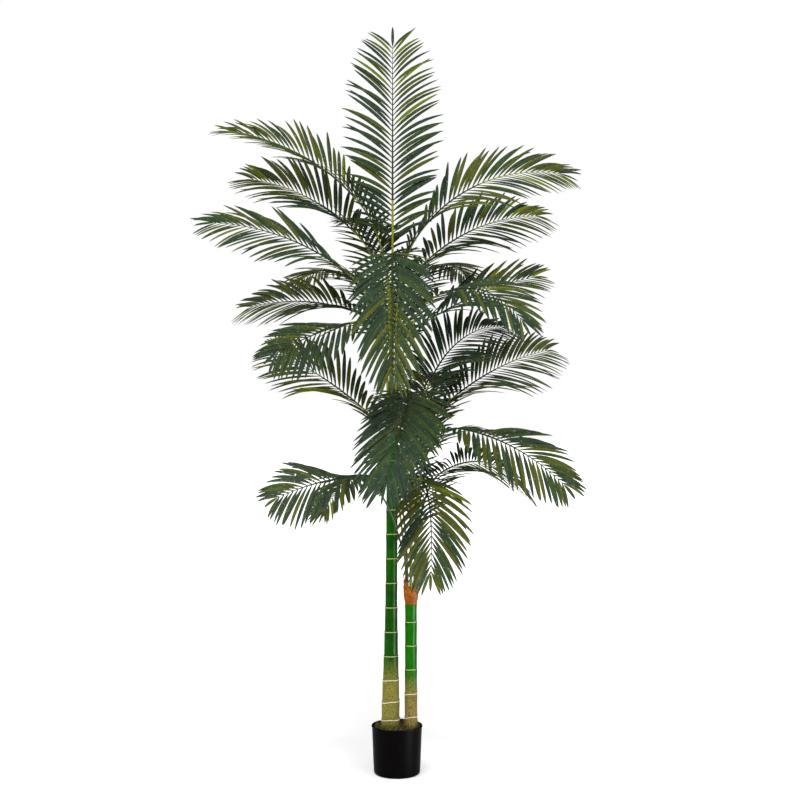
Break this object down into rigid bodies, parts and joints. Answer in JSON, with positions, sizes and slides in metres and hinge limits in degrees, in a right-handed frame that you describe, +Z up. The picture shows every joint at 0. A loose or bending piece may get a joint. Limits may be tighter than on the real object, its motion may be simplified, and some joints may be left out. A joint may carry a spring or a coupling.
{
  "type": "artificial golden cane palm in a pot",
  "caption": "Tall artificial feather palm with ringed green canes in a plain black pot, with arching fronds that fan out of fibre sheaths; decorative indoor plant.",
  "frame": {"origin": "centre of the pot's flat underside, on the floor", "axes": "+Z up along the canes, -Y towards the front that the drooping centre fronds face, +X to the viewer's right"},
  "size_m": [1.0992, 1.1223, 2.1016],
  "materials": {
    "pot_black": "gloss",
    "fill_grey": "matte",
    "moss_olive": "matte",
    "cane_green": "satin",
    "sheath_brown": "matte",
    "petiole_lime": "satin",
    "leaf_green": "satin"
  },
  "bodies": {
    "root": {"pot": "pot_black", "fill": "fill_grey", "moss": "moss_olive", "cane_main": "cane_green", "cane_small": "cane_green", "sheath_main": "sheath_brown", "sheath_small": "sheath_brown", "petiole_top": "petiole_lime", "petiole_left_1": "petiole_lime", "petiole_left_2": "petiole_lime", "petiole_left_3": "petiole_lime", "petiole_left_4": "petiole_lime", "petiole_left_5": "petiole_lime", "petiole_right_1": "petiole_lime", "petiole_right_2": "petiole_lime", "petiole_right_3": "petiole_lime", "petiole_right_4": "petiole_lime", "petiole_front_1": "petiole_lime", "petiole_back_1": "petiole_lime", "petiole_back_2": "petiole_lime", "petiole_back_3": "petiole_lime", "petiole_low_left_1": "petiole_lime", "petiole_low_left_2": "petiole_lime", "petiole_low_right_1": "petiole_lime", "petiole_low_right_2": "petiole_lime", "petiole_low_right_3": "petiole_lime", "petiole_low_right_4": "petiole_lime", "petiole_low_front_1": "petiole_lime", "petiole_low_front_2": "petiole_lime", "petiole_low_back_1": "petiole_lime", "petiole_low_back_2": "petiole_lime", "petiole_low_back_3": "petiole_lime", "blade_top": "leaf_green", "blade_left_1": "leaf_green", "blade_left_2": "leaf_green", "blade_left_3": "leaf_green", "blade_left_4": "leaf_green", "blade_left_5": "leaf_green", "blade_right_1": "leaf_green", "blade_right_2": "leaf_green", "blade_right_3": "leaf_green", "blade_right_4": "leaf_green", "blade_front_1": "leaf_green", "blade_back_1": "leaf_green", "blade_back_2": "leaf_green", "blade_back_3": "leaf_green", "blade_low_left_1": "leaf_green", "blade_low_left_2": "leaf_green", "blade_low_right_1": "leaf_green", "blade_low_right_2": "leaf_green", "blade_low_right_3": "leaf_green", "blade_low_right_4": "leaf_green", "blade_low_front_1": "leaf_green", "blade_low_front_2": "leaf_green", "blade_low_back_1": "leaf_green", "blade_low_back_2": "leaf_green", "blade_low_back_3": "leaf_green"}
  },
  "joints": []
}
